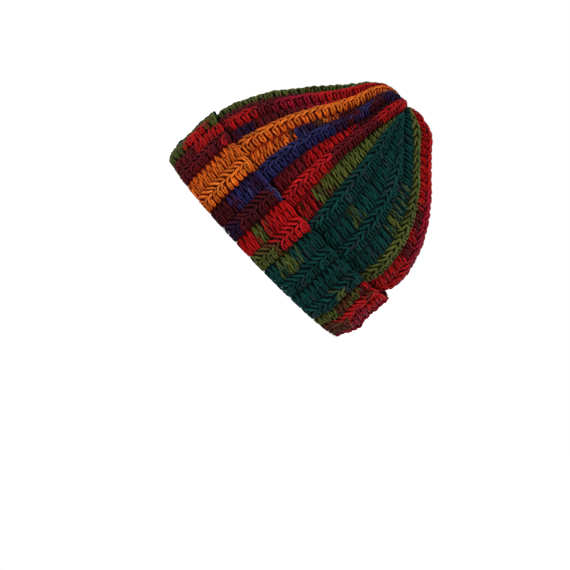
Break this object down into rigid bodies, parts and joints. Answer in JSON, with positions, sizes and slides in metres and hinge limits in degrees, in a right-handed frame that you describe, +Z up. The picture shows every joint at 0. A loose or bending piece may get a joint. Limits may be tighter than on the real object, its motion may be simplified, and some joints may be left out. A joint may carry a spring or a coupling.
{
  "type": "chunky ribbed crochet beanie with a turned-up cuff",
  "caption": "Hollow knit cap of thick wool, ribbed from the hem to a gathered top, with the hem turned up into a cuff that it stands on.",
  "frame": {"origin": "middle of the hem on the surface that the cap stands on", "axes": "+Z up through the gathered top, -X over the forehead, +X over the nape, -Y the wearer's left ear"},
  "size_m": [0.2185, 0.1712, 0.1795],
  "materials": {
    "crown_wool": "thick variegated wool yarn in dark teal, olive, maroon, red, orange and navy, matt, worked in ribs",
    "cuff_wool": "the same variegated wool yarn, matt, showing the other face of the ribs"
  },
  "bodies": {
    "root": {"crown": "crown_wool", "cuff": "cuff_wool"}
  },
  "joints": []
}
